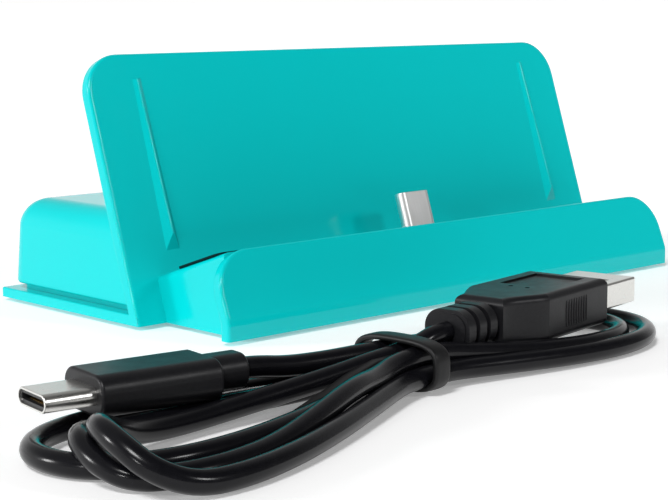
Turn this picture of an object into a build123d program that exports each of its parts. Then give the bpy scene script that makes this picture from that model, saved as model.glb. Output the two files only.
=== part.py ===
from build123d import *
import os
from math import atan2, cos, degrees, radians, sin, tan

# A charging dock for a handheld game console, with its loose cable tied in a hank beside it.
# Millimetres and degrees. X runs along the dock, Y from front to back, Z up.
# The origin is the middle of the dock's own footprint, on the surface that it stands on.

# ---- Body ----
body_width = 132.0  # back plate and base flange, end to end
body_depth = 67.6  # front of the lip to the rear of the flange
foot_stand = 0.6  # how far the rubber feet hold the plastic off the table
edge_round = 0.6

# ---- Back plate and its ribs ----
plate_lean = 18.2
plate_length = 51.1  # along the lean, from the underside
plate_thick = 2.6
plate_corner = 8.0
rib_end_inset = 11.3  # end of the plate to the rib's middle
rib_low = 13.3  # lower and upper end of a rib, along the plate
rib_high = 46.1
rib_low_width = 3.1
rib_high_width = 1.9
rib_low_height = 1.3
rib_high_height = 0.4
rib_end_slope = 3.0  # how far up the slanted end face runs
rib_crest_share = 0.22  # rounded share of the crest

# ---- Front lip ----
channel_depth = 22.1  # front of the lip to the foot of the plate
lip_end_inset = 2.8
lip_foot = 3.4  # upright part of the lip
lip_lean = 21.2
lip_length = 12.7  # leaning part of the lip
lip_thick = 2.4
lip_corner = 8.0
lip_bend_round = 4.0

# ---- Trough under the console ----
trough_end_inset = 6.4
trough_wall = 2.4
trough_floor = 2.0
floor_level = 8.8  # top of the floor, along the plate
trough_round = 1.2
pad_thick = 0.4
pad_rear_gap = 5.4  # plate to pad
pad_front_gap = 18.2  # plate to the pad's front edge
pad_end_gap = 0.5
slot_width = 13.6  # slot for the plug's neck
slot_depth = 7.4

# ---- Flange and bottom cover ----
flange_thick = 1.9
flange_side_rim = 9.3
flange_rear_rim = 7.0
flange_corner = 0.4
cover_thick = 1.2
cover_ledge = 1.5  # how far the cover's seat reaches under its surroundings
cover_gap = 0.15
cover_corner = 3.0
window_width = 14.0  # way for the wires through the plate's foot
window_height = 3.4

# ---- Rear housing ----
housing_side_inset = 1.2
housing_rear_inset = 0.7
housing_gap = 1.1  # shadow gap over the flange
housing_skirt_inset = 1.7
skirt_thick = 1.4
housing_top = 19.8  # above the plastic's underside
housing_draft = 4.0
housing_corner = 4.6
housing_top_round = 5.6
housing_wall = 2.0

# ---- Screws, bosses and feet ----
boss_side_inset = 24.0
boss_front_inset = 12.8
boss_plate_gap = 17.7  # foot of the plate to the bosses behind it
boss_rear_inset = 10.3
boss_radius = 3.2
screw_radius = 1.25
screw_length = 6.0
screw_head_radius = 2.3
screw_hole_gap = 0.2
foot_side_inset = 14.5
foot_front_inset = 9.8
foot_rear_inset = 11.3
foot_radius = 4.0
foot_pocket = 0.4
foot_gap = 0.1

# ---- Main board ----
board_width = 56.0
board_plate_gap = 16.9  # foot of the plate to the board's front edge
board_thick = 1.2
board_level = 6.2  # underside of the board over the plastic's underside
board_rear_gap = 4.6  # board's rear edge to the flange's rear edge
board_post_side_inset = 4.0
board_post_inset = 5.4
board_post_radius = 2.4
board_screw_radius = 0.95
board_screw_head = 1.9
board_screw_length = 4.0

# ---- Metal plugs and the power inlet ----
plug_width = 8.34
plug_thick = 2.56
plug_wall = 0.3
inlet_width = 8.94
inlet_height = 3.2
inlet_length = 7.35
inlet_hole_gap = 0.15
inlet_recess = 1.4  # depth of the sunk frame round the inlet
inlet_recess_margin = 1.6
large_plug_width = 12.0
large_plug_height = 4.5
large_plug_wall = 0.3
press_fit = 0.02  # gap between an insulator and the metal round it

# ---- Console plug on its rocker ----
plug_off = 9.95  # plug's middle from the plate's face
plug_tip = 17.2  # plug's tip, along the plate
plug_root = 8.0
pivot_level = 3.6
rocker_low = 1.0
rocker_high = 6.2
rocker_width = 17.0
rocker_thick = 5.6
neck_width = 11.6
neck_thick = 4.4
neck_top = 9.2
pin_radius = 1.0
pin_gap = 0.05
post_gap = 0.5
post_width = 3.0
spring_gap = 0.4
spring_thick = 0.3
spring_width = 8.0
plug_board_thick = 1.0
plug_board_width = 14.0

# ---- Wires from the plug to the main board ----
wire_radius = 0.55
wire_count = 4
wire_pitch = 2.0
wire_end_gap = 0.6
wire_cover_gap = 0.1  # lowest point of the wires to the bottom cover
header_width = 10.5
header_depth = 4.5
header_height = 4.0

# ---- Cable ----
cable_x = -64.0  # where the hank's tie lies
cable_y = -76.0
cable_turn = 4.0
cord_radius = 1.65
hank_low = 3.4  # height of the hank where one layer of turns lies
hank_high = 6.6
waist_half = 7.4
tie_width = 3.4
tie_thick = 1.0
large_plug_at = (9.8, -0.9)  # cord end of the large plug's strain relief
large_plug_turn = 5.4
large_plug_level = 7.5
large_relief_length = 9.4
large_neck_length = 9.0
large_grip_length = 19.6
large_grip_width = 15.7
large_grip_thick = 8.0
large_exposed = 13.6  # metal that shows
large_inside = 5.0  # metal held in the grip
small_plug_at = (-27.4, 7.3)  # cord end of the small plug's strain relief
small_plug_turn = 168.3
small_plug_level = 6.5
small_relief_length = 5.8
small_grip_length = 19.0
small_grip_width = 11.6
small_grip_thick = 5.9
small_exposed = 7.6
small_inside = 3.0

# Worked out from the sizes above
floor_z = foot_stand
front_y = -body_depth / 2
rear_y = body_depth / 2
foot_y = front_y + channel_depth  # foot of the plate's front face
lip_width = body_width - 2 * lip_end_inset
trough_width = body_width - 2 * trough_end_inset
rib_x = body_width / 2 - rib_end_inset
boss_x = body_width / 2 - boss_side_inset
boss_front_y = front_y + boss_front_inset
boss_rear_ys = (foot_y + boss_plate_gap, rear_y - boss_rear_inset)
foot_x = body_width / 2 - foot_side_inset
foot_ys = (front_y + foot_front_inset, rear_y - foot_rear_inset)
lean_sin = sin(radians(plate_lean))
lean_cos = cos(radians(plate_lean))
cover_top = floor_z + cover_thick
flange_top = floor_z + flange_thick
board_top = floor_z + board_level + board_thick
board_rear = rear_y - board_rear_gap
board_front = foot_y + board_plate_gap
board_post_x = board_width / 2 - board_post_side_inset
lip_inner_y = front_y + lip_thick
cover_half = body_width / 2 - flange_side_rim + cover_ledge - cover_gap
cover_front = front_y + lip_thick - cover_ledge + cover_gap
cover_rear = rear_y - flange_rear_rim + cover_ledge - cover_gap
housing_base = flange_top + housing_gap
inlet_z = board_top + inlet_height / 2
inlet_y = rear_y - housing_rear_inset - inlet_recess

lean = Plane(origin=(0, foot_y, floor_z), x_dir=(1, 0, 0), z_dir=(0, -lean_cos, lean_sin))


def leaning(up, out):
    """Y and Z of a point so far up the plate's face and so far out in front of it."""
    return (foot_y + up * lean_sin - out * lean_cos, floor_z + up * lean_cos + out * lean_sin)


def prism(points, width):
    """A side profile given as Y and Z, drawn out to a width centred on X = 0."""
    face = make_face(Polyline(*points, close=True))
    return extrude(Plane.YZ * face, width / 2, both=True)


def block(x0, x1, y0, y1, z0, z1):
    """A box between six planes."""
    return Pos((x0 + x1) / 2, (y0 + y1) / 2, (z0 + z1) / 2) * Box(x1 - x0, y1 - y0, z1 - z0)


def post(x, y, z0, z1, radius):
    """An upright cylinder between two heights."""
    return Pos(x, y, (z0 + z1) / 2) * Cylinder(radius, z1 - z0)


def above_floor(shape):
    """What lies above the plastic's underside."""
    return shape & block(-200, 200, -200, 200, floor_z, 200)


def mirrored(shape):
    """A shape and its mirror image across the dock's middle."""
    return shape + mirror(shape, Plane.YZ)


def screw_spots():
    """Where the cover's screws go in."""
    return [(side * boss_x, y) for side in (-1, 1) for y in (boss_front_y, *boss_rear_ys)]


def back_plate():
    """Leaning plate with rounded top corners."""
    below = 20.0
    outline = Pos(0, (plate_length - below) / 2) * RectangleRounded(
        body_width, plate_length + below, plate_corner
    )
    slab = extrude(outline, -plate_thick)
    return above_floor(lean * fillet(slab.edges(), edge_round))


def rib():
    """Tapered ridge that keeps the console off the plate, cut off at a slant at its lower end."""
    sunk = 0.3

    def ridge(width, height, level):
        half = width / 2
        near = half * rib_crest_share
        shoulder = height * (1 - rib_crest_share * 0.6)
        crest = ThreePointArc((-near, shoulder), (0, height), (near, shoulder))
        outline = Curve() + [
            Polyline(crest @ 1, (half, 0), (half, -sunk), (-half, -sunk), (-half, 0), crest @ 0),
            crest,
        ]
        return Plane(origin=(0, level, 0), x_dir=(1, 0, 0), z_dir=(0, -1, 0)) * make_face(outline)

    body = loft(
        [ridge(rib_low_width, rib_low_height, rib_low), ridge(rib_high_width, rib_high_height, rib_high)]
    )
    slant = degrees(atan2(rib_low_height, rib_end_slope))
    cutter = Pos(0, rib_low, 0) * Rot(slant, 0, 0) * Pos(0, 0, 10) * Box(12, 60, 20)
    above = Pos(0, rib_low + rib_end_slope + 30, 0) * Box(12, 60, 40)
    return lean * Pos(rib_x, 0, 0) * (body - (cutter - above))


def front_lip():
    """Upright foot that bends back into a leaning front, with rounded top corners."""
    slope_sin = sin(radians(lip_lean))
    slope_cos = cos(radians(lip_lean))
    bend_z = floor_z + lip_foot
    top = (front_y + lip_length * slope_sin, bend_z + lip_length * slope_cos)
    top_in = (top[0] + lip_thick * slope_cos, top[1] - lip_thick * slope_sin)
    bend_in = (lip_inner_y, bend_z - lip_thick * tan(radians(lip_lean / 2)))
    outer_bend = (front_y, bend_z)
    face = make_face(
        Polyline((front_y, floor_z), outer_bend, top, top_in, bend_in, (lip_inner_y, floor_z), close=True)
    )
    for corner, radius in ((outer_bend, lip_bend_round), (bend_in, lip_bend_round - lip_thick)):
        near = face.vertices().sort_by_distance((corner[0], corner[1], 0))[0]
        face = fillet(near, radius)
    sheet = extrude(Plane.YZ * face, lip_width / 2, both=True)
    below = 20.0
    outline = Pos(0, (lip_length - below) / 2) * RectangleRounded(
        lip_width, lip_length + below, lip_corner
    )
    front = Plane(origin=(0, *outer_bend), x_dir=(1, 0, 0), z_dir=(0, -slope_cos, slope_sin))
    lip = sheet & (front * extrude(outline, 20, both=True))
    top_lines = lip.edges().filter_by(Axis.X).sort_by(Axis.Z)[-2:]
    return fillet(top_lines, edge_round)


def cradle():
    """Plate, ribs, trough, lip and base flange in one moulding, open underneath."""
    flange = Pos(0, (foot_y + 1 + rear_y) / 2, floor_z + flange_thick / 2) * extrude(
        RectangleRounded(body_width, rear_y - foot_y - 1, flange_corner), flange_thick / 2, both=True
    )
    flange = fillet(flange.faces().sort_by(Axis.Z)[-1].edges(), edge_round / 2)
    flange += block(-body_width / 2, body_width / 2, foot_y + 0.5, foot_y + 5, floor_z, flange_top - 0.4)
    trough = prism(
        [
            (foot_y + 0.5, floor_z),
            leaning(floor_level, -0.5),
            leaning(floor_level, pad_front_gap + lip_thick * 0.75),
            (front_y + lip_thick / 2, floor_z + lip_foot),
            (front_y + lip_thick / 2, floor_z),
        ],
        trough_width,
    )
    top_ends = trough.edges().filter_by(lambda e: abs(abs(e.center().X) - trough_width / 2) < 0.1)
    trough = fillet(top_ends.sort_by(Axis.Z)[-2:], trough_round)
    body = back_plate() + flange + trough + front_lip() + mirrored(rib())

    cavity = prism(
        [
            leaning(-4, 0),
            leaning(floor_level - trough_floor, 0),
            leaning(floor_level - trough_floor, pad_front_gap + 0.4),
            (lip_inner_y + 0.1, floor_z + lip_foot),
            (lip_inner_y + 0.1, floor_z - 2),
        ],
        trough_width - 2 * trough_wall,
    )
    posts = mirrored(post(boss_x, boss_front_y, cover_top, floor_z + 20, boss_radius)) & cavity
    rocker_post = lean * Pos(rocker_width / 2 + post_gap + post_width / 2, 0, plug_off) * Pos(
        0, (pivot_level - 2.2 + floor_level - 1) / 2, 0
    ) * Box(post_width, floor_level - 1 - pivot_level + 2.2, rocker_thick)
    body = body - cavity + posts + mirrored(rocker_post)

    opening_half = body_width / 2 - flange_side_rim
    plate_rear = leaning(0, -plate_thick)[0] + flange_thick * tan(radians(plate_lean)) + 0.9
    opening_rear = rear_y - flange_rear_rim
    body -= block(-opening_half, opening_half, plate_rear, opening_rear, floor_z - 2, flange_top + 2)
    seat_half = opening_half + cover_ledge
    seat_front = lip_inner_y - cover_ledge
    seat_rear = opening_rear + cover_ledge
    seat = Pos(0, (seat_front + seat_rear) / 2, cover_top - 2) * extrude(
        RectangleRounded(2 * seat_half, seat_rear - seat_front, cover_corner), 2
    )
    body -= seat
    body -= block(
        -window_width / 2, window_width / 2, foot_y - 2, foot_y + 6, cover_top - 1, cover_top + window_height
    )
    body -= lean * Pos(0, floor_level, plug_off) * Box(slot_width, 3 * trough_floor, slot_depth)
    body -= lean * Pos(0, pivot_level, plug_off) * Rot(0, 90, 0) * Cylinder(pin_radius, 60)
    for side in (-1, 1):
        body -= post(side * boss_x, boss_front_y, floor_z, cover_top + screw_length, screw_radius)
    return body


def housing_shell(grow, base, top, top_round):
    """Drafted box with rounded corners, its walls moved in by a negative growth."""
    rear = rear_y - housing_rear_inset + grow
    side = body_width / 2 - housing_side_inset + grow
    ahead = foot_y - 20
    rise = (base - housing_base) * tan(radians(housing_draft))
    outline = Pos(0, (rear - rise + ahead) / 2, base) * RectangleRounded(
        2 * (side - rise), rear - rise - ahead, housing_corner + grow
    )
    shell = extrude(outline, top - base, taper=housing_draft)
    if top_round:
        shell = fillet(shell.faces().sort_by(Axis.Z)[-1].edges(), top_round)
    return shell


def skirt(inset, top):
    """Block with upright walls that stands on the flange, set in from the housing's foot."""
    inset += housing_skirt_inset
    half = body_width / 2 - housing_side_inset - inset
    solid = block(-half, half, foot_y - 20, rear_y - housing_rear_inset - inset, flange_top, top)
    return fillet(solid.edges().filter_by(Axis.Z), housing_corner - inset)


def rear_housing():
    """Hollow box behind the plate, standing on the flange with a shadow gap."""
    top = floor_z + housing_top
    outer = housing_shell(0, housing_base, top, housing_top_round)
    outer = fillet(outer.faces().sort_by(Axis.Z)[0].edges(), edge_round)
    inner_top = top - housing_wall
    inner = housing_shell(-housing_wall, housing_base - 4, inner_top, housing_top_round - housing_wall)
    shell = outer - inner + (skirt(0, housing_base + 2) - skirt(skirt_thick, housing_base + 3))

    bosses = Part()
    for y in boss_rear_ys:
        for side in (-1, 1):
            bosses += post(side * boss_x, y, cover_top, inner_top + 0.5, boss_radius)
    shell += bosses
    for y in boss_rear_ys:
        for side in (-1, 1):
            shell -= post(side * boss_x, y, floor_z, cover_top + screw_length, screw_radius)

    mouth = Plane(origin=(0, rear_y, inlet_z), x_dir=(1, 0, 0), z_dir=(0, 1, 0))
    hole_width = inlet_width + 2 * inlet_hole_gap
    hole_height = inlet_height + 2 * inlet_hole_gap
    shell -= mouth * extrude(RectangleRounded(hole_width, hole_height, hole_height / 2 - 0.01), 8, both=True)
    recess = RectangleRounded(
        hole_width + 2 * inlet_recess_margin,
        hole_height + 2 * inlet_recess_margin,
        hole_height / 2 + inlet_recess_margin - 0.1,
    )
    shell -= inlet_plane() * extrude(recess, 8)

    ahead = lean * Pos(0, 0, 100 - plate_thick) * Box(300, 300, 200)
    return shell - ahead


def bottom_cover():
    """Flat cover with countersunk holes, foot pockets and posts for the main board."""
    depth = cover_rear - cover_front
    corner = cover_corner - cover_gap
    cover = Pos(0, (cover_front + cover_rear) / 2, floor_z) * extrude(
        RectangleRounded(2 * cover_half, depth, corner), cover_thick
    )
    for x, y in board_spots():
        cover += post(x, y, floor_z + 0.5, floor_z + board_level, board_post_radius)
        cover -= post(x, y, floor_z + board_level - board_screw_length, board_top, board_screw_radius)
    for x, y in screw_spots():
        cover -= countersunk(x, y, screw_hole_gap)
    for y in foot_ys:
        for side in (-1, 1):
            cover -= post(side * foot_x, y, floor_z - 1, floor_z + foot_pocket, foot_radius + foot_gap)
    return cover


def countersunk(x, y, gap):
    """A screw's cone and shank from below, larger all round by a gap."""
    cone = Pos(x, y, floor_z + cover_thick / 2) * Cone(
        screw_head_radius + gap, screw_radius + gap, cover_thick
    )
    return cone + post(x, y, floor_z, cover_top + screw_length, screw_radius + gap)


def board_spots():
    """Where the main board's screws stand."""
    ys = (board_front + board_post_inset, board_rear - board_post_inset)
    return [(side * board_post_x, y) for side in (-1, 1) for y in ys]


def cover_screws():
    """Countersunk screws that hold the cover, the cradle and the housing together."""
    screws = []
    for x, y in screw_spots():
        shank = screw_radius - 0.05
        screw = Pos(x, y, floor_z + cover_thick / 2) * Cone(screw_head_radius, shank, cover_thick)
        screw += post(x, y, floor_z + 0.2, cover_top + screw_length - 1, shank)
        for turn in (0, 90):
            screw -= Pos(x, y, floor_z) * Rot(0, 0, turn) * Box(2.6, 0.6, 1.2)
        screws.append(screw)
    return Compound(children=screws)


def rubber_feet():
    """Round feet pressed into the cover's pockets."""
    feet = []
    for y in foot_ys:
        for side in (-1, 1):
            foot = post(side * foot_x, y, 0, floor_z + foot_pocket, foot_radius)
            feet.append(fillet(foot.faces().sort_by(Axis.Z)[0].edges(), 0.25))
    return Compound(children=feet)


def channel_pad():
    """Thin soft strip that the console's lower edge rests on."""
    depth = pad_front_gap - pad_rear_gap
    width = trough_width - 2 * pad_end_gap
    strip = Pos(0, (pad_front_gap + pad_rear_gap) / 2) * RectangleRounded(width, depth, 1.5)
    strip -= Pos(0, plug_off) * RectangleRounded(slot_width, slot_depth, 1.0)
    on_floor = Plane(
        origin=(0, *leaning(floor_level, 0)), x_dir=(1, 0, 0), z_dir=(0, lean_sin, lean_cos)
    )
    return on_floor * extrude(Rot(180, 0, 0) * strip, -pad_thick)


def main_board():
    """Circuit board on four posts, with its screw holes."""
    half = board_width / 2
    board = block(-half, half, board_front, board_rear, board_top - board_thick, board_top)
    for x, y in board_spots():
        board -= post(x, y, board_top - 5, board_top + 5, board_screw_radius + 0.15)
    return board


def board_screws():
    """Pan-head screws of the main board."""
    screws = []
    for x, y in board_spots():
        head = post(x, y, board_top, board_top + 1.2, board_screw_head)
        head = fillet(head.faces().sort_by(Axis.Z)[-1].edges(), 0.5)
        head += post(x, y, board_top - board_screw_length, board_top + 0.5, board_screw_radius - 0.03)
        for turn in (0, 90):
            head -= Pos(x, y, board_top + 1.2) * Rot(0, 0, turn) * Box(2.0, 0.5, 1.0)
        screws.append(head)
    return Compound(children=screws)


def power_chips():
    """Charge controller, power switch and protection chip."""
    middle = (board_front + board_rear) / 2
    sizes = ((-10, 1, 7.0, 7.0, 0.9), (-19, 4, 5.0, 4.0, 1.5), (16, 5, 4.0, 4.0, 0.9))
    chips = []
    for x, dy, width, depth, height in sizes:
        chip = block(x - width / 2, x + width / 2, 0, depth, board_top, board_top + height)
        chips.append(Pos(0, middle + dy - depth / 2, 0) * chamfer(chip.edges().filter_by(Axis.Z), 0.3))
    return Compound(children=chips)


def power_inductor():
    """Shielded choke of the power stage."""
    y = (board_front + board_rear) / 2 + 1
    core = block(4, 11, y - 3.5, y + 3.5, board_top, board_top + 3.4)
    core = fillet(core.edges().filter_by(Axis.Z), 1.4)
    return core - post(7.5, y, board_top + 3.0, board_top + 4, 1.9)


def filter_capacitors():
    """Two upright electrolytic cans."""
    y = (board_front + board_rear) / 2
    cans = []
    for x in (18.0, -3.0):
        can = post(x, y - 4.5, board_top, board_top + 5.4, 2.5)
        cans.append(fillet(can.edges().sort_by(Axis.Z)[-1], 0.5))
    return Compound(children=cans)


def inlet_plane():
    """Mouth of the power inlet, looking out of the back."""
    return Plane(origin=(0, inlet_y, inlet_z), x_dir=(1, 0, 0), z_dir=(0, 1, 0))


def inlet_shell():
    """Metal shell of the power inlet, open at the back and closed inside."""
    outer = extrude(RectangleRounded(inlet_width, inlet_height, inlet_height / 2 - 0.01), -inlet_length)
    inner_height = inlet_height - 2 * plug_wall
    inner = extrude(
        RectangleRounded(inlet_width - 2 * plug_wall, inner_height, inner_height / 2 - 0.01),
        -inlet_length + plug_wall,
    )
    return inlet_plane() * (outer - inner)


def inlet_tongue():
    """Insulator of the power inlet with its contact tongue."""
    gap = 0.03
    width = inlet_width - 2 * (plug_wall + gap)
    height = inlet_height - 2 * (plug_wall + gap)
    deep = -inlet_length + plug_wall
    base = extrude(RectangleRounded(width, height, height / 2 - 0.01), 1.8)
    tongue = Pos(0, 0, 3.4) * Box(6.7, 0.7, 3.6)
    return inlet_plane() * Pos(0, 0, deep) * (base + tongue)


def wire_header():
    """Small socket on the main board that takes the wires."""
    half = header_width / 2
    rear = board_front + header_depth
    header = block(-half, half, board_front, rear, board_top, board_top + header_height)
    for x in wire_xs():
        bore = Pos(x, board_front, header_z()) * Rot(90, 0, 0) * Cylinder(wire_radius, 2 * wire_end_gap)
        header -= bore
    return header


def header_z():
    """Height of the wires where they enter the header."""
    return board_top + header_height / 2


def wire_xs():
    """Middles of the wires across the dock."""
    return [(i - (wire_count - 1) / 2) * wire_pitch for i in range(wire_count)]


def link_wires():
    """Wires from the console plug, through the plate's foot, up to the main board."""
    start_y, _ = leaning(rocker_low - plug_board_thick - 0.2, plug_off - rocker_thick / 2 - wire_radius - 0.4)
    start = (start_y, cover_top + wire_radius + wire_cover_gap)
    window_z = cover_top + window_height / 2
    route = [
        start,
        (foot_y + 0.5, window_z),
        (foot_y + 7.5, window_z + 0.4),
        (board_front - 5.0, header_z()),
        (board_front + wire_end_gap, header_z()),
    ]
    points = [Vector(0, y, z) for y, z in route]
    runs = [b - a for a, b in zip(points, points[1:])]
    radii = []
    for before, after in zip(runs, runs[1:]):
        half_turn = radians(before.get_angle(after)) / 2
        radii.append(0.45 * min(before.length, after.length) / tan(half_turn))
    print("wire bend radii", [round(r, 1) for r in radii])
    wires = []
    for x in wire_xs():
        path = FilletPolyline(*[p + Vector(x, 0, 0) for p in points], radius=radii)
        section = Plane(origin=path @ 0, z_dir=path % 0) * Circle(wire_radius)
        wires.append(sweep(section, path=path))
    return Compound(children=wires)


def pivot_pin():
    """Steel pin that the rocker turns on."""
    length = rocker_width + 2 * (post_gap + post_width)
    return lean * Pos(0, pivot_level, plug_off) * Rot(0, 90, 0) * Cylinder(pin_radius, length)


def centring_springs():
    """Two leaf springs that hang from the floor and stand the rocker upright."""
    leaves = []
    top = floor_level - trough_floor
    bottom = rocker_low + 0.6
    for side in (-1, 1):
        out = side * (rocker_thick / 2 + spring_gap + spring_thick / 2)
        leaf = Pos(0, (top + bottom) / 2, out) * Box(spring_width, top - bottom, spring_thick)
        leaf += Pos(0, top - spring_thick / 2, out + side * 0.6) * Box(spring_width, spring_thick, 1.5)
        leaves.append(lean * Pos(0, 0, plug_off) * leaf)
    return Compound(children=leaves)


def plug_rocker():
    """Moulded block that carries the console plug and turns on the pin."""
    axis = lean * Pos(0, 0, plug_off)
    height = rocker_high - rocker_low
    body = Pos(0, rocker_low + height / 2, 0) * Box(rocker_width, height, rocker_thick)
    body = fillet(body.edges().filter_by(Axis.Y), 0.8)
    neck = Pos(0, (rocker_high + neck_top) / 2 - 0.25, 0) * Box(
        neck_width, neck_top - rocker_high + 0.5, neck_thick
    )
    neck = fillet(neck.edges().filter_by(Axis.Y), neck_thick / 2 - 0.1)
    body += neck
    upward = Plane(origin=(0, plug_root, 0), x_dir=(1, 0, 0), z_dir=(0, 1, 0))
    body -= upward * extrude(RectangleRounded(plug_width, plug_thick, plug_thick / 2 - 0.01), 5)
    body -= Pos(0, pivot_level, 0) * Rot(0, 90, 0) * Cylinder(pin_radius + pin_gap, 60)
    return axis * body


def plug_board():
    """Small board under the rocker that the plug's wires are soldered to."""
    middle = rocker_low - plug_board_thick / 2
    return lean * Pos(0, middle, plug_off) * Box(plug_board_width, plug_board_thick, rocker_thick - 0.8)


def plug_parts(length, slot_start):
    """Shell, insert and contacts of a small reversible plug that points along +Z from z = 0."""
    outer_round = plug_thick / 2 - 0.01
    outer = extrude(RectangleRounded(plug_width, plug_thick, outer_round), length)
    inner_thick = plug_thick - 2 * plug_wall
    inner_width = plug_width - 2 * plug_wall
    bore = extrude(RectangleRounded(inner_width, inner_thick, inner_thick / 2 - 0.01), length)
    rim = outer.faces().sort_by(Axis.Z)[-1].edges()
    shell = fillet(rim, 0.12) - bore
    insert_thick = inner_thick - 2 * press_fit
    insert_width = inner_width - 2 * press_fit
    insert = extrude(RectangleRounded(insert_width, insert_thick, insert_thick / 2 - 0.01), length - 0.3)
    slot_thick = 0.9
    mouth_width = 6.9
    insert -= Pos(0, 0, slot_start + length / 2) * Box(mouth_width, slot_thick, length)
    contact_count = 12
    contact_pitch = 0.5
    contact_thick = 0.08
    contacts = []
    for i in range(contact_count):
        for side in (-1, 1):
            x = (i - (contact_count - 1) / 2) * contact_pitch
            y = side * (slot_thick - contact_thick) / 2
            contacts.append(Pos(x, y, slot_start + 2.6) * Box(contact_pitch / 2, contact_thick, 4.4))
    return shell, insert, Compound(children=contacts)


def console_plug():
    """The three pieces of the upright plug in the channel."""
    upward = lean * Pos(0, plug_root, plug_off) * Rot(-90, 0, 0)
    parts = plug_parts(plug_tip - plug_root, 1.8)
    return [upward * part for part in parts]


def cable_plane():
    """The hank's own frame on the table: X along its length, Y across it."""
    return Plane(origin=(cable_x, cable_y, 0), z_dir=(0, 0, 1)) * Rot(0, 0, cable_turn)


def plug_plane(at, turn, level):
    """Frame of a cable plug, +Z along the plug from the cord's end, Y up."""
    flat = cable_plane() * Pos(*at, level) * Rot(0, 0, turn)
    return flat * Plane(origin=(0, 0, 0), x_dir=(0, -1, 0), z_dir=(1, 0, 0)).location


def small_plug():
    """The cable's small plug: shell, insert, contacts, overmould and strain relief."""
    frame = plug_plane(small_plug_at, small_plug_turn, small_plug_level)
    shell, insert, contacts = plug_parts(small_exposed + small_inside, small_inside + 1.6)
    at_shell = frame * Pos(0, 0, small_relief_length + small_grip_length - small_inside)
    grip = extrude(RectangleRounded(small_grip_width, small_grip_thick, 2.4), small_grip_length)
    grip = fillet(grip.faces().sort_by(Axis.Z)[-1].edges(), 0.5)
    grip = fillet(grip.faces().sort_by(Axis.Z)[0].edges(), 0.5)
    pocket = extrude(RectangleRounded(plug_width, plug_thick, plug_thick / 2 - 0.01), 8)
    grip -= Pos(0, 0, small_grip_length - small_inside) * pocket
    relief = extrude(RectangleRounded(6.4, 5.2, 2.3), small_relief_length)
    relief = fillet(relief.faces().sort_by(Axis.Z)[0].edges(), 0.4)
    return {
        "small_plug_shell": at_shell * shell,
        "small_plug_insert": at_shell * insert,
        "small_plug_contacts": at_shell * contacts,
        "small_plug_overmould": frame * Pos(0, 0, small_relief_length) * grip,
        "small_plug_relief": frame * relief,
    }


def large_grip():
    """Overmould of the large plug, waisted where the cord comes in, with a thumb panel each side."""
    half = large_grip_width / 2
    neck_half = 4.6
    end = large_neck_length + large_grip_length
    left = Spline(
        (-neck_half, 0), (-half, large_neck_length), tangents=[(0, 1), (-0.25, 1)], tangent_scalars=[1.0, 1.0]
    )
    outline = Curve() + [
        left,
        Polyline((-half, large_neck_length), (-half, end), (half, end), (half, large_neck_length)),
        mirror(left, Plane.YZ),
        Line((neck_half, 0), (-neck_half, 0)),
    ]
    flat = Plane(origin=(0, 0, 0), x_dir=(1, 0, 0), z_dir=(0, -1, 0)) * make_face(outline)
    grip = extrude(flat, large_grip_thick / 2, both=True)
    rims = grip.edges().filter_by(lambda e: abs(abs(e.center().Y) - large_grip_thick / 2) < 0.01)
    grip = fillet(rims, 1.2)
    pocket_length = large_inside + 1
    pocket = Box(large_plug_width, large_plug_height, pocket_length)
    grip -= Pos(0, 0, end - large_inside + pocket_length / 2) * pocket
    panel = Box(9.6, 0.7, 12.0)
    dimple = Rot(90, 0, 0) * Cylinder(0.45, 20)
    for side in (-1, 1):
        grip -= Pos(0, side * large_grip_thick / 2, large_neck_length + 11.0) * panel
        grip -= Pos(side * 1.6, 0, large_neck_length + 3.4) * dimple
    return grip


def large_plug():
    """The cable's large plug: shell, tongue, contacts, overmould and ringed strain relief."""
    frame = plug_plane(large_plug_at, large_plug_turn, large_plug_level)
    relief = extrude(RectangleRounded(7.0, 5.6, 2.5), large_relief_length)
    ring = extrude(RectangleRounded(8.4, 6.8, 3.0), 2.0)
    ring_pitch = 3.1
    for i in range(3):
        relief += Pos(0, 0, 0.2 + i * ring_pitch) * ring

    length = large_exposed + large_inside
    shell = Pos(0, 0, length / 2) * Box(large_plug_width, large_plug_height, length)
    shell = fillet(shell.edges().filter_by(Axis.Z), 0.4)
    hollow_width = large_plug_width - 2 * large_plug_wall
    hollow_height = large_plug_height - 2 * large_plug_wall
    shell -= Pos(0, 0, length / 2 + 1) * Box(hollow_width, hollow_height, length)
    for side in (-1, 1):
        shell -= Pos(side * 2.9, 0, length - 6.6) * Box(2.0, 20, 2.2)
    tongue_thick = 1.9
    tongue_top = -hollow_height / 2 + press_fit + tongue_thick
    tongue = Pos(0, tongue_top - tongue_thick / 2, length / 2 + 0.2) * Box(
        hollow_width - 0.1, tongue_thick, length - 1.6
    )
    contact_thick = 0.12
    contacts = []
    for x in (-3.5, -1.0, 1.0, 3.5):
        contact = Box(1.2, contact_thick, 7.0)
        contacts.append(Pos(x, tongue_top + contact_thick / 2, length - 5.8) * contact)
    end = large_relief_length + large_neck_length + large_grip_length
    at_shell = frame * Pos(0, 0, end - large_inside)
    return {
        "large_plug_shell": at_shell * shell,
        "large_plug_tongue": at_shell * tongue,
        "large_plug_contacts": at_shell * Compound(children=contacts),
        "large_plug_overmould": frame * Pos(0, 0, large_relief_length) * large_grip(),
        "large_plug_relief": frame * relief,
    }


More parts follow.
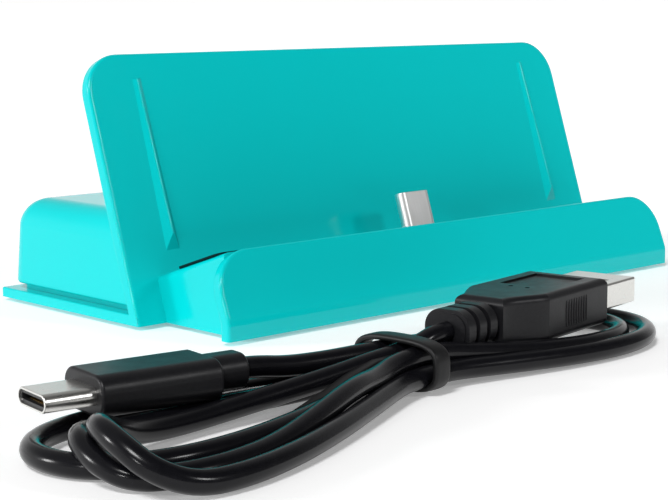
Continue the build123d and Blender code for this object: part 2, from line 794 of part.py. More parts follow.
def cord_hank():
    """Outer shape of the tied hank: two lobes with a waist, lower where the plugs lie on them."""
    left_lobe = [
        (-20, 10.6), (-32, 14.3), (-45, 15.2), (-57, 12.2), (-64.6, 6.4), (-66.4, -5),
        (-62.5, -14.6), (-51, -20.4), (-36, -18.4), (-18, -12.2),
    ]
    right_lobe = [
        (14, -8.6), (30, -10.8), (47, -10.8), (58.5, -8.2), (63.2, -1.5), (62.6, 7.5),
        (56.5, 15.2), (45, 19.2), (33, 17.6), (17, 11.8),
    ]
    waist = 3.0
    outline = Spline(
        (-waist, waist_half), *left_lobe, (-waist, -waist_half), (waist, -waist_half), *right_lobe,
        (waist, waist_half), periodic=True,
    )
    hank = extrude(make_face(outline), hank_high)
    hank -= block(12, 90, -40, 40, hank_low, 20)
    ring_half = tie_width / 2 + 0.2
    hank -= block(-ring_half, ring_half, -40, 40, -1, tie_thick + 0.05)
    for side in (-1, 1):
        hank -= Pos(0, side * (waist_half + 20), 0) * Box(2 * ring_half, 40, 40)
    riser = block(ring_half, large_plug_at[0], -3.6, 1.4, hank_high - 1, large_plug_level + cord_radius)
    clearance = plug_plane(small_plug_at, small_plug_turn, small_plug_level) * Pos(0, 0, 30) * Box(
        small_grip_width + 1.4, 2 * (small_plug_level - hank_low), 60
    )
    clearance += plug_plane(large_plug_at, large_plug_turn, large_plug_level) * Pos(0, 0, 30) * Box(
        large_grip_width + 14.3, 2 * (large_plug_level - hank_low), 60
    )
    return cable_plane() * (hank + riser) - clearance


def cable_tie():
    """Flat band round the hank's waist."""
    half = waist_half + 0.1
    top = hank_high + 0.1
    outer = block(-tie_width / 2, tie_width / 2, -half - tie_thick, half + tie_thick, 0, top + tie_thick)
    outer = fillet(outer.edges().filter_by(Axis.X), tie_thick)
    band = outer - block(-tie_width, tie_width, -half, half, tie_thick, top)
    return cable_plane() * band


def build():
    """Every node's solid, by name."""
    plug_shell, plug_insert, plug_contacts = console_plug()
    nodes = {
        "cradle": cradle(),
        "rear_housing": rear_housing(),
        "bottom_cover": bottom_cover(),
        "cover_screws": cover_screws(),
        "rubber_feet": rubber_feet(),
        "channel_pad": channel_pad(),
        "main_board": main_board(),
        "board_screws": board_screws(),
        "power_chips": power_chips(),
        "power_inductor": power_inductor(),
        "filter_capacitors": filter_capacitors(),
        "inlet_shell": inlet_shell(),
        "inlet_tongue": inlet_tongue(),
        "wire_header": wire_header(),
        "link_wires": link_wires(),
        "pivot_pin": pivot_pin(),
        "centring_springs": centring_springs(),
        "plug_rocker": plug_rocker(),
        "plug_board": plug_board(),
        "plug_shell": plug_shell,
        "plug_insert": plug_insert,
        "plug_contacts": plug_contacts,
        "cord_hank": cord_hank(),
        "cable_tie": cable_tie(),
    }
    nodes.update(small_plug())
    nodes.update(large_plug())
    return nodes


os.makedirs("parts", exist_ok=True)
for name, shape in build().items():
    export_step(shape, f"parts/{name}.step")
    print(name, "solids", len(shape.solids()), "volume", round(shape.volume, 1))
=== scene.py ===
# %% [markdown]
# # A charging dock for a handheld console
# The real object is a glossy turquoise stand: a leaning plate with a lip in front, a box of electronics
# behind, and an upright plug in the channel between them. Its black charging cable lies beside it, tied in
# a hank. The solid parts come from a CAD model that is loaded here as a fixed frame, and this lesson adds
# what a solid model leaves out: the cord's turns, the tie, fine relief and every surface's finish.

# %% Load the frame
from math import cos, pi, radians, sin

import bmesh
import bpy
from mathutils import Matrix, Vector


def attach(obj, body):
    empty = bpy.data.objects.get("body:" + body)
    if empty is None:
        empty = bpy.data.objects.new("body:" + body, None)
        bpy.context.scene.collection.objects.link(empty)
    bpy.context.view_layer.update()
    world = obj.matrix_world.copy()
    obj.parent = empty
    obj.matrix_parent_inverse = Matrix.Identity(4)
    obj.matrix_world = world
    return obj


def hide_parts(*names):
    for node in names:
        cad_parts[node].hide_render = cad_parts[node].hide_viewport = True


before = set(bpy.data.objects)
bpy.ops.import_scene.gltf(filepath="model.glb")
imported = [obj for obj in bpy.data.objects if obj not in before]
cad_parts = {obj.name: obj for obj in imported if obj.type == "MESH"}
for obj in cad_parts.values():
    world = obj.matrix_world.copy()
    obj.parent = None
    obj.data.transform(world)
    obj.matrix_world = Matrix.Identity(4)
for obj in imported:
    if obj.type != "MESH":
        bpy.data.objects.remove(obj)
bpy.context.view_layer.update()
MM = 0.001

# %% [markdown]
# ## The camera
# The camera has a long lens and stands a little above the table. We place it by its position, its heading
# and its tilt, because those are what one would note beside a tripod, and build its matrix from them. A
# long lens keeps the plate's long edges nearly parallel.

# %% Place the camera
CAMERA_PLACE = Vector((-241.6, -250.5, 58.5)) * MM
CAMERA_HEADING = radians(-43.16)
CAMERA_TILT = radians(-8.49)
CAMERA_ROLL = radians(-0.25)
CAMERA_LENS = 89.6

camera = bpy.data.objects.new("camera", bpy.data.cameras.new("camera"))
camera.data.lens = CAMERA_LENS
camera.data.sensor_width = 36
camera.data.clip_start = 0.01
camera.data.clip_end = 1000
camera.matrix_world = (
    Matrix.Translation(CAMERA_PLACE)
    @ Matrix.Rotation(CAMERA_HEADING, 4, "Z")
    @ Matrix.Rotation(pi / 2 + CAMERA_TILT, 4, "X")
    @ Matrix.Rotation(CAMERA_ROLL, 4, "Z")
)
bpy.context.scene.collection.objects.link(camera)
bpy.context.scene.camera = camera
sight = camera.matrix_world.to_3x3() @ Vector((0, 0, -1))
print("camera looks along", [round(value, 3) for value in sight])

# %% [markdown]
# ## The light
# The studio is a room with a white wall behind the object and a dim one in front, so glossy faces that look
# back at the camera stay deep and those seen at a grazing angle turn pale. The object stands on a light
# table. Four soft suns do the rest. The key stands low, behind and to the left, so the plate shades the
# side of the channel. The upper one lights the ribs' left flanks and leaves their lower ends dark. A weak
# one at the front right brightens the metal plug. A small strip at the left is there to be mirrored by the
# rounded edges as long thin glints.

# %% Build the studio
WALL_STRENGTH = 1.0
FRONT_SHARE = 0.16
ZENITH_SHARE = 0.3
TABLE_GLOW = 0.25
FLOOR_SIZE = 600.0
FLOOR_DROP = 0.0002


def soft_sun(name, toward, strength, spread):
    """Distant lamp in a given direction from the object, as wide as its spread in degrees."""
    sun = bpy.data.objects.new(name, bpy.data.lights.new(name, "SUN"))
    sun.data.energy = strength
    sun.data.angle = radians(spread)
    sun.rotation_euler = (-Vector(toward)).to_track_quat("-Z", "Y").to_euler()
    bpy.context.scene.collection.objects.link(sun)
    return sun


def direction_share(tree, source, start, end, first, last):
    """Value that changes smoothly from first to last as one part of the direction grows."""
    share = tree.nodes.new("ShaderNodeMapRange")
    share.interpolation_type = "SMOOTHSTEP"
    for socket, value in (("From Min", start), ("From Max", end), ("To Min", first), ("To Max", last)):
        share.inputs[socket].default_value = value
    tree.links.new(source, share.inputs["Value"])
    return share.outputs["Result"]


world = bpy.data.worlds.new("studio_room")
bpy.context.scene.world = world
world.use_nodes = True
room = world.node_tree
background = room.nodes["Background"]
background.inputs["Color"].default_value = (1.0, 1.0, 1.0, 1.0)
heading = room.nodes.new("ShaderNodeSeparateXYZ")
room.links.new(room.nodes.new("ShaderNodeTexCoord").outputs["Generated"], heading.inputs[0])
to_back = direction_share(room, heading.outputs["Y"], -0.3, 0.45, FRONT_SHARE, WALL_STRENGTH)
to_top = direction_share(room, heading.outputs["Z"], 0.1, 0.6, 1.0, ZENITH_SHARE)
both = room.nodes.new("ShaderNodeMath")
both.operation = "MULTIPLY"
room.links.new(to_back, both.inputs[0])
room.links.new(to_top, both.inputs[1])
room.links.new(both.outputs["Value"], background.inputs["Strength"])
bpy.context.scene.view_settings.view_transform = "Standard"
soft_sun("key_sun", (-0.78, 0.56, 0.27), 1.1, 12)
soft_sun("upper_sun", (-0.6, -0.3, 0.74), 2.0, 16)
soft_sun("plug_sun", (0.36, -0.8, 0.48), 0.5, 10)
soft_sun("glint_strip", (-0.93, -0.3, 0.2), 0.35, 5)

# %% [markdown]
# ## Shader maths as Python
# A finish is a small tree of nodes. Written node by node it is long and hard to read, so one class wraps a
# socket and lets `+` and `*` add the Math nodes, and one method adds any other node. A finish then
# reads like the formula that it is.


# %% Make the shader helpers
class Wire:
    """A node's output that arithmetic can be done on."""

    def __init__(self, finish, socket):
        self.finish = finish
        self.socket = socket

    def joined(self, operation, first, second):
        return self.finish.node("ShaderNodeMath", {"operation": operation}, {0: first, 1: second})

    def __add__(self, other):
        return self.joined("ADD", self, other)

    def __mul__(self, other):
        return self.joined("MULTIPLY", self, other)



class Finish:
    """A material with one Principled shader, and a short way to add nodes."""

    def __init__(self, name, **plain):
        self.material = bpy.data.materials.new(name)
        self.material.use_nodes = True
        self.tree = self.material.node_tree
        self.shader = self.tree.nodes["Principled BSDF"]
        for socket, value in plain.items():
            self.shader.inputs[socket.replace("_", " ")].default_value = value

    def node(self, kind, settings=None, sockets=None, output=0):
        """Adds a node, sets it first and then links or fills its sockets."""
        made = self.tree.nodes.new(kind)
        for key, value in (settings or {}).items():
            if key == "stops":
                self.set_stops(made.color_ramp, value)
            else:
                setattr(made, key, value)
        for key, value in (sockets or {}).items():
            if isinstance(value, Wire):
                self.tree.links.new(value.socket, made.inputs[key])
            else:
                made.inputs[key].default_value = value
        return Wire(self, made.outputs[output])

    def set_stops(self, ramp, stops):
        """Gives a colour ramp its stops, each a place and a colour."""
        while len(ramp.elements) < len(stops):
            ramp.elements.new(1.0)
        for element, (place, colour) in zip(ramp.elements, stops):
            element.position = place
            element.color = colour

    def send(self, wire, socket):
        """Links a wire to one of the shader's own sockets."""
        self.tree.links.new(wire.socket, self.shader.inputs[socket])

    def place(self, stretch=(1, 1, 1), turn=(0, 0, 0)):
        """Object coordinates, stretched and turned."""
        spot = self.node("ShaderNodeTexCoord", output=3)
        return self.node("ShaderNodeMapping", {}, {"Vector": spot, "Rotation": turn, "Scale": stretch})

    def noise(self, scale, detail=2.0, where=None):
        """Cloudy values around a half."""
        sockets = {"Vector": where or self.place(), "Scale": scale, "Detail": detail}
        return self.node("ShaderNodeTexNoise", {}, sockets)

    def blend(self, amount, first, second):
        """A colour between two others."""
        sockets = {0: amount, 6: first, 7: second}
        return self.node("ShaderNodeMix", {"data_type": "RGBA"}, sockets, output=2)

    def emboss(self, height, depth, strength=1.0):
        """Relief of a few hundredths of a millimetre, from a height between 0 and 1."""
        bump = self.node("ShaderNodeBump", {}, {"Height": height, "Distance": depth, "Strength": strength})
        self.send(bump, "Normal")


print("shader helpers ready")

# %% [markdown]
# ## The floor
# The floor is a plain pale sheet that glows a little, as a light table does.
# It is not part of the object.

# %% Lay the floor
WHITE = (1, 1, 1, 1)
glow = {"Emission_Color": WHITE, "Emission_Strength": TABLE_GLOW}
paper = Finish("pale_paper", Roughness=0.9, Specular_IOR_Level=0.1, **glow)
paper.send(paper.blend(paper.noise(3.0), (0.93, 0.93, 0.93, 1), (0.96, 0.96, 0.96, 1)), "Base Color")
floor_mesh = bpy.data.meshes.new("floor")
half = FLOOR_SIZE / 2
floor_corners = [(-half, -half, 0), (half, -half, 0), (half, half, 0), (-half, half, 0)]
floor_mesh.from_pydata(floor_corners, [], [(0, 1, 2, 3)])
floor_mesh.materials.append(paper.material)
floor = bpy.data.objects.new("floor", floor_mesh)
floor.location.z = -FLOOR_DROP
bpy.context.scene.collection.objects.link(floor)
print("floor", FLOOR_SIZE, "m wide")

# %% [markdown]
# ## The cord's route
# The cable is 0.83 m of round cord, 3.3 mm thick, wound back and forth through a tie in three turns on each
# side. It could be simulated, but a hand-wound hank is a pattern that a rule describes well: each turn
# leaves the tie in one slot, swells into a long loop and comes back in another slot. One function works
# out the points of a turn, and a table says how far each one reaches, how wide it is and how far it has
# slipped sideways. Loose turns differ in size, and they climb over each other where they cross.

# %% Work out the cord's control points
CORD_THICK = 3.3
HANK_PLACE = Vector((-64.0, -76.0, 0.0))
HANK_TURN = radians(4.0)
LAYER_LOW = CORD_THICK / 2
TIE_LOW = 2.65
TIE_HIGH = 5.45
TURN_POINTS = 18
START_ALONG = 4.0  # a turn's first points, measured from the tie
LOOP_POINTEDNESS = 1.1
SWELL_POWER = 0.75
DROP_POWER = 2.5

# Slots through the tie: seven passes of the cord in two layers, as across and up
tie_slots = {
    "floor_near": (-5.1, TIE_LOW),
    "floor_mid_near": (-1.7, TIE_LOW),
    "floor_mid_far": (1.7, TIE_LOW),
    "floor_far": (5.1, TIE_LOW),
    "top_near": (-3.4, TIE_HIGH),
    "top_mid": (0.0, TIE_HIGH),
    "top_far": (3.4, TIE_HIGH),
}

# Each turn: side, reach, half width, slip, slot out, slot back, and its climbs over other turns,
# each as place along the turn, height and half length
hank_turns = [
    (-1, 66.0, 14.6, -12.0, "top_mid", "floor_near", [(0.455, 6.2, 0.17)]),
    (1, 62.5, -20.0, 4.8, "floor_near", "floor_far", []),
    (-1, 65.5, 16.0, 2.4, "floor_far", "floor_mid_near", []),
    (1, 36.0, -9.0, 3.4, "floor_mid_near", "floor_mid_far", []),
    (-1, 65.0, 14.6, -6.8, "floor_mid_far", "top_near", [(0.43, 3.3, 0.13), (0.85, 3.3, 0.16)]),
    (1, 58.0, -13.8, 3.6, "top_near", "top_far", []),
]
large_plug_lead = [(9.8, -0.9, 7.5), (6.5, -1.0, 7.3), (3.5, -0.6, 6.2), (0, 0, TIE_HIGH)]
small_plug_lead = [
    (0, 3.4, TIE_HIGH), (-5, 3.8, TIE_HIGH), (-12, 5.0, 5.3),
    (-19, 6.2, 5.5), (-24, 7.0, 6.3), (-27.4, 7.3, 6.5),
]


def one_turn(side, reach, half_width, slip, slot_out, slot_back, climbs):
    """Control points of one loop of the hank, from its slot out to its slot back."""
    points = []
    for step in range(1, TURN_POINTS):
        angle = 2 * pi * step / TURN_POINTS
        out = (1 - cos(angle)) / 2
        across, up = tie_slots[slot_out if 2 * step <= TURN_POINTS else slot_back]
        along = START_ALONG + (reach - START_ALONG) * (1 - (1 - out) ** LOOP_POINTEDNESS)
        swell = half_width * sin(angle) * out**SWELL_POWER
        height = LAYER_LOW + (up - LAYER_LOW) * (1 - out) ** DROP_POWER
        for place, rise, length in climbs:
            away = abs(step / TURN_POINTS - place) / length
            if away < 1:
                height = max(height, LAYER_LOW + rise * (1 + cos(pi * away)) / 2)
        points.append((side * along, slip * out + swell + across * (1 - out), height))
    return points


route = list(large_plug_lead)
for number, turn in enumerate(hank_turns):
    route += one_turn(*turn)
    if number + 1 < len(hank_turns):
        across, up = tie_slots[turn[5]]
        route.append((0, across, up))
route += small_plug_lead
hank_frame = Matrix.Translation(HANK_PLACE) @ Matrix.Rotation(HANK_TURN, 4, "Z")
print("control points", len(route))

# %% [markdown]
# A NURBS spline of order 3 runs smoothly past its control points, as a springy cord does, and it begins and
# ends exactly at the first and last ones. The curve's own bevel gives the cord its round section.


# %% Draw the cord
def smooth_cord(name, points, thick):
    """Curve object with one open spline and a round section."""
    curve = bpy.data.curves.new(name, "CURVE")
    curve.dimensions = "3D"
    curve.resolution_u = 8
    curve.bevel_depth = thick / 2 * MM
    curve.bevel_resolution = 6
    curve.use_fill_caps = True
    spline = curve.splines.new("NURBS")
    spline.points.add(len(points) - 1)
    for control, point in zip(spline.points, points):
        control.co = (*(hank_frame @ Vector(point) * MM), 1)
    spline.order_u = 3
    spline.use_endpoint_u = True
    cord = bpy.data.objects.new(name, curve)
    bpy.context.scene.collection.objects.link(cord)
    return cord


charging_cord = smooth_cord("charging_cord", route, CORD_THICK)
cord_length = charging_cord.data.splines[0].calc_length()
print("cord length", round(cord_length, 3), "m")

# %% [markdown]
# ## The tie
# A flat soft band holds the hank at its waist. It is a rounded loop with a rounded section, so it is built
# as rings of points: the loop is a superellipse that hugs the seven passes of cord, and each ring is a
# small superellipse too. One end of the band sticks out under the turns.

# %% Build the tie
TIE_WIDTH = 3.4
TIE_THICK = 1.0
TIE_HALF_SPAN = 7.5
TIE_TOP = 7.25
TIE_RINGS = 72
TIE_RING_POINTS = 16
SECTION_SQUARENESS = 0.45
LOOP_SQUARENESS = 0.6
SMALL_STEP = 0.01
TAIL_WIDTH = 2.0


def bar_mesh(name, spine, sections, closed):
    """Mesh tube: one ring of points for each place on a spine."""
    mesh = bmesh.new()
    rings = []
    for (centre, side, up), section in zip(spine, sections):
        rings.append([mesh.verts.new(centre + side * across + up * over) for across, over in section])
    count = len(rings)
    for index in range(count if closed else count - 1):
        ring, following = rings[index], rings[(index + 1) % count]
        for point in range(len(ring)):
            after = (point + 1) % len(ring)
            mesh.faces.new((ring[point], ring[after], following[after], following[point]))
    if not closed:
        mesh.faces.new(rings[0])
        mesh.faces.new(rings[-1])
    bmesh.ops.recalc_face_normals(mesh, faces=mesh.faces)
    data = bpy.data.meshes.new(name)
    mesh.to_mesh(data)
    mesh.free()
    data.shade_smooth()
    made = bpy.data.objects.new(name, data)
    bpy.context.scene.collection.objects.link(made)
    return made


def boxy_circle(angle, squareness):
    """Point of a superellipse of half-width 1, squarer as its squareness falls."""
    across = abs(cos(angle)) ** squareness * (1 if cos(angle) >= 0 else -1)
    up = abs(sin(angle)) ** squareness * (1 if sin(angle) >= 0 else -1)
    return across, up


def rounded_section(width, height):
    """Flat-sided ring of points with round corners, in metres."""
    points = []
    for step in range(TIE_RING_POINTS):
        across, over = boxy_circle(2 * pi * step / TIE_RING_POINTS, SECTION_SQUARENESS)
        points.append((across * width / 2 * MM, over * height / 2 * MM))
    return points


def tie_loop(angle):
    """Point on the loop that hugs the cords."""
    low, high = TIE_THICK / 2, TIE_TOP + TIE_THICK / 2
    across, up = boxy_circle(angle, LOOP_SQUARENESS)
    return Vector((0, across * (TIE_HALF_SPAN + TIE_THICK / 2), (low + high) / 2 + up * (high - low) / 2))


along_hank = Vector((1, 0, 0))
turned = hank_frame.to_3x3()
tie_spine = []
for step in range(TIE_RINGS):
    angle = 2 * pi * (step + 0.5) / TIE_RINGS
    here = tie_loop(angle)
    onward = (tie_loop(angle + SMALL_STEP) - here).normalized()
    outward = onward.cross(along_hank)
    tie_spine.append((hank_frame @ here * MM, turned @ along_hank, turned @ outward))
tie_section = rounded_section(TIE_WIDTH, TIE_THICK)
tie_band = bar_mesh("tie_band", tie_spine, [tie_section] * TIE_RINGS, True)

tail_points = [(-2, -1.0, 5.6), (-8, -1.6, 5.4), (-14, -2.0, 4.2), (-20, -2.6, 2.6), (-26.5, -3.8, 1.5)]
tail_spine = []
for index, point in enumerate(tail_points):
    before = Vector(tail_points[max(index - 1, 0)])
    after = Vector(tail_points[min(index + 1, len(tail_points) - 1)])
    onward = (after - before).normalized()
    side = onward.cross(Vector((0, 0, 1))).normalized()
    up = side.cross(onward)
    tail_spine.append((hank_frame @ Vector(point) * MM, turned @ side, turned @ up))
tail_section = rounded_section(TAIL_WIDTH, TIE_THICK)
tie_tail = bar_mesh("tie_tail", tail_spine, [tail_section] * len(tail_points), False)
print("tie faces", len(tie_band.data.polygons), "tail faces", len(tie_tail.data.polygons))

# %% [markdown]
# ## Turquoise plastic
# The dock is moulded in one bright plastic with a polished tool. Such a surface is not perfectly even: it
# has a faint orange-peel ripple, slightly cloudy gloss, and a colour that shifts a little through the
# moulding. Three noises do this, each at its own scale.

# %% Mix the turquoise plastic
TURQUOISE = (0.001, 0.6, 0.61, 1)
TURQUOISE_DEEP = (0.001, 0.565, 0.575, 1)


def turquoise_plastic(name, rough, ripple):
    """Glossy moulded plastic, with its own roughness and depth of ripple."""
    finish = Finish(name, IOR=1.5, Specular_IOR_Level=0.2)
    cloud = finish.noise(22.0, 3.0)
    finish.send(finish.blend(cloud, TURQUOISE_DEEP, TURQUOISE), "Base Color")
    haze = finish.noise(160.0, 4.0)
    finish.send(haze * 0.08 + rough, "Roughness")
    finish.emboss(finish.noise(900.0, 2.0), ripple, 0.35)
    return finish.material


gloss_turquoise = turquoise_plastic("gloss_turquoise", 0.1, 0.000006)
cover_turquoise = turquoise_plastic("cover_turquoise", 0.42, 0.00004)
print("turquoise finishes ready")

# %% [markdown]
# ## Rubber and black plastics
# The pad in the channel is a thin strip, near-black with a teal tint and a fine grain; its edge gives the
# dark line that runs along the channel behind the lip. The feet are black rubber that scatters light and
# shows a fine grain. The cable's jacket is a soft glossy plastic. Its faint rings come from the extruder,
# so they run round the cord, and the strain reliefs and overmoulds have the satin of a moulded grip.


# %% Mix the rubbers and black plastics
def grained(name, dark, pale, rough, scale, depth, **plain):
    """Fine-grained polymer between two shades."""
    finish = Finish(name, **plain)
    grain = finish.noise(scale, 4.0)
    finish.send(finish.blend(grain, dark, pale), "Base Color")
    finish.send(finish.noise(scale / 6, 2.0) * 0.15 + rough, "Roughness")
    finish.emboss(grain, depth, 0.6)
    return finish.material


# Near-black teal on the channel pad: this colour makes the dark line along the channel behind the lip.
channel_dark_strip = grained(
    "channel_dark_strip", (0.001, 0.012, 0.013, 1), (0.002, 0.025, 0.027, 1), 0.7, 1500, 0.00004,
    Specular_IOR_Level=0.04,
)
foot_rubber = grained("foot_rubber", (0.012, 0.012, 0.012, 1), (0.03, 0.03, 0.03, 1), 0.62, 1400, 0.00005)
grip_black = grained(
    "grip_black", (0.006, 0.006, 0.007, 1), (0.013, 0.013, 0.015, 1), 0.3, 2200, 0.00002,
    Specular_IOR_Level=0.25,
)
cord_black = grained(
    "cord_black", (0.003, 0.003, 0.004, 1), (0.007, 0.007, 0.009, 1), 0.12, 900, 0.000008,
    Specular_IOR_Level=0.22,
)
tie_black = grained(
    "tie_black", (0.005, 0.005, 0.005, 1), (0.012, 0.012, 0.013, 1), 0.35, 1800, 0.00003,
    Specular_IOR_Level=0.25,
)
insulator_black = grained(
    "insulator_black", (0.01, 0.01, 0.011, 1), (0.02, 0.02, 0.022, 1), 0.32, 2500, 0.00001
)
chip_resin = grained("chip_resin", (0.014, 0.014, 0.015, 1), (0.028, 0.028, 0.03, 1), 0.5, 3000, 0.00003)
ferrite_grey = grained("ferrite_grey", (0.035, 0.035, 0.038, 1), (0.07, 0.07, 0.075, 1), 0.6, 2600, 0.00004)
header_nylon = grained("header_nylon", (0.68, 0.64, 0.53, 1), (0.76, 0.73, 0.63, 1), 0.4, 1800, 0.00001)
print("rubbers and plastics ready")

# %% [markdown]
# ## Metals
# The plug shells are drawn steel with a bright nickel finish: fine lines run along them, and their gloss
# varies along those lines only. A noise that is squeezed in one direction gives such lines. The contacts
# are gold, and the screws and springs are plain steel.


# %% Mix the metals
def drawn_metal(name, colour, rough, stretch, turn=(0, 0, 0)):
    """Metal with fine lines along one direction."""
    finish = Finish(name, Metallic=1.0)
    lines = finish.noise(60.0, 3.0, finish.place(stretch, turn))
    pale = tuple(min(1.0, channel * 1.12) for channel in colour[:3]) + (1,)
    finish.send(finish.blend(lines, colour, pale), "Base Color")
    finish.send(lines * 0.16 + rough, "Roughness")
    finish.emboss(lines, 0.000004, 0.5)
    return finish.material


plug_steel = drawn_metal("plug_steel", (0.9, 0.9, 0.89, 1), 0.34, (60, 4, 4))
cable_steel = drawn_metal("cable_steel", (0.72, 0.71, 0.68, 1), 0.22, (4, 60, 60))
screw_steel = drawn_metal("screw_steel", (0.42, 0.42, 0.43, 1), 0.26, (20, 20, 20))
spring_steel = drawn_metal("spring_steel", (0.5, 0.5, 0.52, 1), 0.24, (50, 6, 6))
pin_steel = drawn_metal("pin_steel", (0.6, 0.6, 0.62, 1), 0.15, (6, 60, 60))
can_aluminium = drawn_metal("can_aluminium", (0.68, 0.69, 0.71, 1), 0.25, (6, 6, 60))
contact_gold = drawn_metal("contact_gold", (0.83, 0.56, 0.2, 1), 0.2, (30, 30, 30))
print("metals ready")

# %% [markdown]
# ## Boards and wires
# A circuit board is green lacquer over copper tracks. The tracks are slightly raised and paler, in a
# right-angled pattern, which a brick texture with thin joints imitates. The four wires differ in colour,
# and that can be read from where each one lies across the dock.

# %% Mix the board and the wires
board_lacquer = Finish("board_lacquer", Coat_Weight=0.4, Coat_Roughness=0.15)
brick_settings = {"offset": 0.37, "squash": 0.6, "squash_frequency": 3}
brick_sockets = {
    "Vector": board_lacquer.place((1, 1, 0)), "Scale": 260.0, "Mortar Size": 0.08,
    "Color1": (0, 0, 0, 1), "Color2": (0, 0, 0, 1), "Mortar": (1, 1, 1, 1),
}
tracks = board_lacquer.node("ShaderNodeTexBrick", brick_settings, brick_sockets, output=1)
board_green = board_lacquer.blend(tracks, (0.004, 0.09, 0.035, 1), (0.015, 0.19, 0.07, 1))
board_lacquer.send(board_green, "Base Color")
board_lacquer.send(board_lacquer.noise(300.0) * 0.1 + 0.25, "Roughness")
board_lacquer.emboss(tracks, 0.00003, 0.8)

wire_sheath = Finish("wire_sheath", IOR=1.48)
split = wire_sheath.node("ShaderNodeSeparateXYZ", {}, {0: wire_sheath.place((1000, 1, 1))})
ramp_stops = [
    (0.0, (0.5, 0.01, 0.008, 1)), (0.3, (0.012, 0.012, 0.012, 1)),
    (0.5, (0.02, 0.28, 0.05, 1)), (0.72, (0.75, 0.75, 0.72, 1)),
]
across_wires = split * 0.125 + 0.5
wire_colour = wire_sheath.node("ShaderNodeValToRGB", {"stops": ramp_stops}, {"Fac": across_wires})
wire_sheath.tree.nodes["Color Ramp"].color_ramp.interpolation = "CONSTANT"
wire_sheath.send(wire_colour, "Base Color")
wire_sheath.send(wire_sheath.noise(500.0) * 0.1 + 0.3, "Roughness")
print("board and wires ready")

# %% [markdown]
# ## Grip ribs on the large plug
# Both narrow sides of the large plug's grip carry a row of fine upright ribs. They repeat at an even pitch,
# so Geometry Nodes make them: a line of points, one rib on each, made real and given its finish at the end.
# The tree's inputs have names, so the same tree could make a row of any length.

# %% Build the rib tree
RIB_COUNT = 9
RIB_PITCH = 0.83
RIB_SIZE = Vector((0.42, 0.4, 4.6))


def rib_row_tree(material):
    """Node group that sets a row of rounded ribs along X."""
    tree = bpy.data.node_groups.new("rib_row", "GeometryNodeTree")
    face = tree.interface
    face.new_socket("Count", in_out="INPUT", socket_type="NodeSocketInt")
    face.new_socket("Pitch", in_out="INPUT", socket_type="NodeSocketFloat")
    face.new_socket("Size", in_out="INPUT", socket_type="NodeSocketVector")
    face.new_socket("Geometry", in_out="OUTPUT", socket_type="NodeSocketGeometry")
    inlet = tree.nodes.new("NodeGroupInput")
    outlet = tree.nodes.new("NodeGroupOutput")
    line = tree.nodes.new("GeometryNodeMeshLine")
    rib = tree.nodes.new("GeometryNodeMeshIcoSphere")
    rib.inputs["Radius"].default_value = 0.5
    rib.inputs["Subdivisions"].default_value = 3
    stretch = tree.nodes.new("GeometryNodeTransform")
    place = tree.nodes.new("GeometryNodeInstanceOnPoints")
    real = tree.nodes.new("GeometryNodeRealizeInstances")
    smooth = tree.nodes.new("GeometryNodeSetShadeSmooth")
    paint = tree.nodes.new("GeometryNodeSetMaterial")
    paint.inputs["Material"].default_value = material
    step = tree.nodes.new("ShaderNodeCombineXYZ")
    link = tree.links.new
    link(inlet.outputs["Count"], line.inputs["Count"])
    link(inlet.outputs["Pitch"], step.inputs["X"])
    link(step.outputs["Vector"], line.inputs["Offset"])
    link(inlet.outputs["Size"], stretch.inputs["Scale"])
    link(rib.outputs["Mesh"], stretch.inputs["Geometry"])
    link(line.outputs["Mesh"], place.inputs["Points"])
    link(stretch.outputs["Geometry"], place.inputs["Instance"])
    link(place.outputs["Instances"], real.inputs["Geometry"])
    link(real.outputs["Geometry"], smooth.inputs["Geometry"])
    link(smooth.outputs["Geometry"], paint.inputs["Geometry"])
    link(paint.outputs["Geometry"], outlet.inputs["Geometry"])
    return tree


def grown(name, tree, values):
    """Plain mesh object that a tree grows from nothing."""
    seed = bpy.data.objects.new(name + "_seed", bpy.data.meshes.new(name + "_seed"))
    bpy.context.scene.collection.objects.link(seed)
    modifier = seed.modifiers.new("grow", "NODES")
    modifier.node_group = tree
    for item in tree.interface.items_tree:
        if item.in_out == "INPUT" and item.name in values:
            modifier[item.identifier] = values[item.name]
    depsgraph = bpy.context.evaluated_depsgraph_get()
    mesh = bpy.data.meshes.new_from_object(seed.evaluated_get(depsgraph))
    seed.modifiers.remove(modifier)
    bpy.data.objects.remove(seed)
    made = bpy.data.objects.new(name, mesh)
    bpy.context.scene.collection.objects.link(made)
    return made


rib_tree = rib_row_tree(grip_black)
print("rib tree nodes", len(rib_tree.nodes))

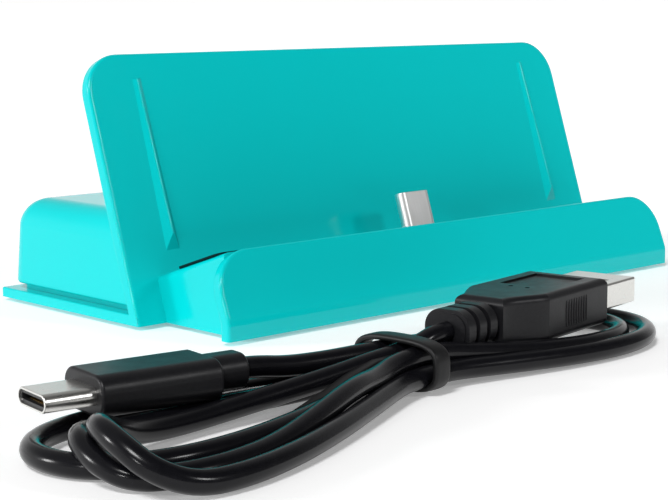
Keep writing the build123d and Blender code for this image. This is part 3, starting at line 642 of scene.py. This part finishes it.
# %% Set the ribs on the plug
LARGE_PLUG_PLACE = (9.8, -0.9, 7.5)
LARGE_PLUG_TURN = radians(5.4)
RELIEF_LENGTH = 9.4
RIBS_FROM_RELIEF = 14.6
GRIP_HALF_WIDTH = 15.7 / 2
plug_on_hank = Matrix.Translation(LARGE_PLUG_PLACE) @ Matrix.Rotation(LARGE_PLUG_TURN, 4, "Z")
large_plug_frame = hank_frame @ plug_on_hank
for side in (-1, 1):
    row = grown(
        "grip_ribs_near" if side < 0 else "grip_ribs_far", rib_tree,
        {"Count": RIB_COUNT, "Pitch": RIB_PITCH * MM, "Size": RIB_SIZE * MM},
    )
    first_rib = (RELIEF_LENGTH + RIBS_FROM_RELIEF, side * GRIP_HALF_WIDTH, 0)
    spot = large_plug_frame @ Matrix.Translation(first_rib)
    row.data.transform(Matrix.Translation(spot.translation * MM) @ spot.to_3x3().to_4x4())
    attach(row, "cable")

# %% [markdown]
# ## Finish every CAD piece
# The solid pieces keep their CAD shapes. Each gets the finish that its real material has.

# %% Assign the finishes
cad_finishes = {
    gloss_turquoise: ["cradle", "rear_housing"],
    cover_turquoise: ["bottom_cover"],
    channel_dark_strip: ["channel_pad"],
    foot_rubber: ["rubber_feet"],
    plug_steel: ["plug_shell", "inlet_shell"],
    cable_steel: ["large_plug_shell", "small_plug_shell"],
    screw_steel: ["cover_screws", "board_screws"],
    spring_steel: ["centring_springs"],
    pin_steel: ["pivot_pin"],
    can_aluminium: ["filter_capacitors"],
    contact_gold: ["plug_contacts", "large_plug_contacts", "small_plug_contacts"],
    insulator_black: [
        "plug_insert", "plug_rocker", "inlet_tongue", "large_plug_tongue", "small_plug_insert",
    ],
    grip_black: ["large_plug_overmould", "large_plug_relief", "small_plug_overmould", "small_plug_relief"],
    board_lacquer.material: ["main_board", "plug_board"],
    wire_sheath.material: ["link_wires"],
    chip_resin: ["power_chips"],
    ferrite_grey: ["power_inductor"],
    header_nylon: ["wire_header"],
}
for material, nodes in cad_finishes.items():
    for node in nodes:
        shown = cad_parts[node]
        shown.data.materials.clear()
        shown.data.materials.append(material)
print("finished nodes", sum(len(nodes) for nodes in cad_finishes.values()))

# %% [markdown]
# ## Tie the pieces to the frame
# The cord, the tie and the ribs move with the cable when it is lifted. The cord and the tie stand for the
# plain solids that the CAD model has in their places.

# %% Join the cable to its body
charging_cord.data.materials.append(cord_black)
tie_band.data.materials.append(tie_black)
tie_tail.data.materials.append(tie_black)
for piece, slot in ((charging_cord, "cord_jacket"), (tie_band, "tie_nylon"), (tie_tail, "tie_nylon")):
    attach(piece, "cable")
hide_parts("cord_hank")
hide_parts("cable_tie")
